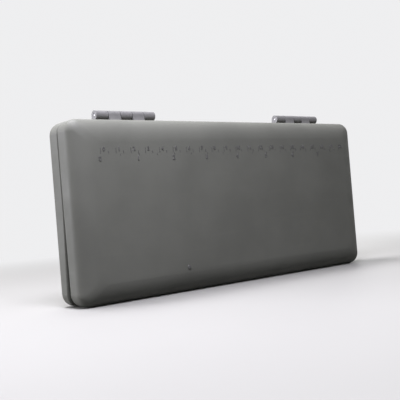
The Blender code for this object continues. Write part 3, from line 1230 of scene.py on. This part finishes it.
@dataclass(frozen=True)
class StudioFloor(Finish):
    """Pale floor that fades into the pale background further out."""

    bounce: Colour = (0.06, 0.06, 0.06)
    speckle: Noise = Noise(0.05)
    speckle_tones: Span = (0.99, 1.01)
    fade: Span = (0.14, 0.60)

    def lay(self, sheet: NodeSheet) -> None:
        """Lay out the floor's colour and its fade.

        Args:
            sheet: The material to fill.
        """
        speckled = sheet.toned(sheet.noise(self.speckle), self.colour, self.speckle_tones)
        seen = sheet.seen_directly()
        unseen = sheet.combined(1.0, seen, Combine.DIFFERENCE)
        sheet.feed("Base Color", sheet.tint(unseen, speckled, self.bounce))
        sheet.feed("Roughness", self.roughness)
        away = sheet.add("ShaderNodeVectorMath", {0: sheet.place}, operation="LENGTH")
        far = sheet.ranged(away.outputs["Value"], self.fade)
        faded = sheet.combined(far, seen, Combine.PRODUCT)
        glow = sheet.add("ShaderNodeEmission", {"Color": BACKGROUND})
        inputs = {"Fac": faded, 1: sheet.shader.outputs["BSDF"], 2: glow.outputs["Emission"]}
        mix = sheet.add("ShaderNodeMixShader", inputs)
        sheet.give(sheet.tree.nodes["Material Output"].inputs["Surface"], mix.outputs["Shader"])


FLOOR_FINISH = StudioFloor("studio_floor", (0.345, 0.343, 0.318), 0.7)


@dataclass(frozen=True)
class Softbox:
    """A square studio light, aimed at a point of the box."""

    name: str
    place: tuple[float, float, float]
    width: float
    watts: float
    aim: tuple[float, float, float] = (0.0, 0.0, 0.055)
    colour: Colour = (1.0, 1.0, 1.0)

    def hang(self) -> None:
        """Put the light in its place and aim it."""
        lamp = added(bpy.ops.object.light_add, self.name, type="AREA", location=self.place)
        lamp.data.shape = "SQUARE"
        lamp.data.size = self.width
        lamp.data.energy = self.watts
        lamp.data.color = self.colour
        lamp.rotation_euler = (Vector(self.aim) - Vector(self.place)).to_track_quat("-Z", "Y").to_euler()


@dataclass
class Studio:
    """Floor, background, lights and the camera at the photograph's viewing angle."""

    ambient: float = 0.065
    floor_radius: float = 6.0
    floor_sides: int = 96
    floor_below: float = 0.0002
    camera_place: tuple[float, float, float] = (-0.305565, -0.350708, 0.048308)
    heading: float = 39.0859
    pitch: float = 0.7725
    roll: float = -4.689
    focal_length: float = 63.98
    sensor_width: float = 36.0
    nearest_seen: float = 0.01
    farthest_seen: float = 50.0
    softboxes: tuple[Softbox, ...] = (
        Softbox("key_above_left", (-0.155, -0.165, 0.355), 0.14, 1.72,
                aim=(-0.110, 0.0, 0.055), colour=(1.0, 0.985, 1.13)),
        Softbox("rim_from_behind_left", (-0.484, 0.339, 0.159), 0.30, 2.10, colour=(1.0, 0.99, 1.09)),
        Softbox("overhead", (-0.150, 0.180, 0.800), 0.35, 8.3,
                aim=(0.0, 0.0, 0.100), colour=(1.0, 0.985, 1.07)),
        Softbox("fill_from_behind_right", (0.500, 0.420, 0.220), 0.30, 1.1),
    )

    def build_floor(self) -> None:
        """A round floor under the box."""
        floor = added(bpy.ops.mesh.primitive_circle_add, "studio_floor", vertices=self.floor_sides,
                      radius=self.floor_radius, fill_type="NGON", location=(0.0, 0.0, -self.floor_below))
        settle(floor)
        floor.data.materials.append(FLOOR_FINISH.material())

    def build_world(self) -> None:
        """Soft light from all round, and a pale background where the camera sees it."""
        world = bpy.data.worlds.new("studio")
        bpy.context.scene.world = world
        world.use_nodes = True
        world.node_tree.nodes.clear()
        sheet = NodeSheet(world.node_tree)
        inputs: dict[str | int, Feed] = {"Fac": sheet.seen_directly()}
        for place, colour, strength in ((1, (1.0, 1.0, 1.0), self.ambient), (2, BACKGROUND, 1.0)):
            light = sheet.add("ShaderNodeBackground", {"Color": colour, "Strength": strength})
            inputs[place] = light.outputs["Background"]
        mix = sheet.add("ShaderNodeMixShader", inputs)
        sheet.add("ShaderNodeOutputWorld", {"Surface": mix.outputs["Shader"]})

    def build_camera(self) -> None:
        """The camera, with its heading, pitch and roll."""
        camera = added(bpy.ops.object.camera_add, "photo_camera", location=self.camera_place)
        turn = (Matrix.Rotation(-math.radians(self.heading), 4, "Z")
                @ Matrix.Rotation(math.pi / 2 + math.radians(self.pitch), 4, "X")
                @ Matrix.Rotation(math.radians(self.roll), 4, "Z"))
        camera.rotation_euler = turn.to_euler()
        camera.data.sensor_width = self.sensor_width
        camera.data.lens = self.focal_length
        camera.data.clip_start = self.nearest_seen
        camera.data.clip_end = self.farthest_seen
        bpy.context.scene.camera = camera

    def build(self) -> None:
        """Set the studio up."""
        self.build_floor()
        self.build_world()
        self.build_camera()
        for softbox in self.softboxes:
            softbox.hang()
        bpy.context.scene.view_settings.view_transform = "Standard"
        LOG.info("studio with %d lights", len(self.softboxes))


def main() -> None:
    """Build and dress the box, then set the studio up round it."""
    logging.basicConfig(level=logging.INFO, format="%(message)s")
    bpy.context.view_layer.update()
    halves = [kind(half) for half in Half for kind in (Shell, FoamBoard)]
    for assembly in (*halves, RigPins(), ClosureMagnets(), HingePins(), Ruler(), GateMark()):
        assembly.build()
        assembly.dress()
    Studio().build()
    deselect_all()


if __name__ == "__main__":
    main()
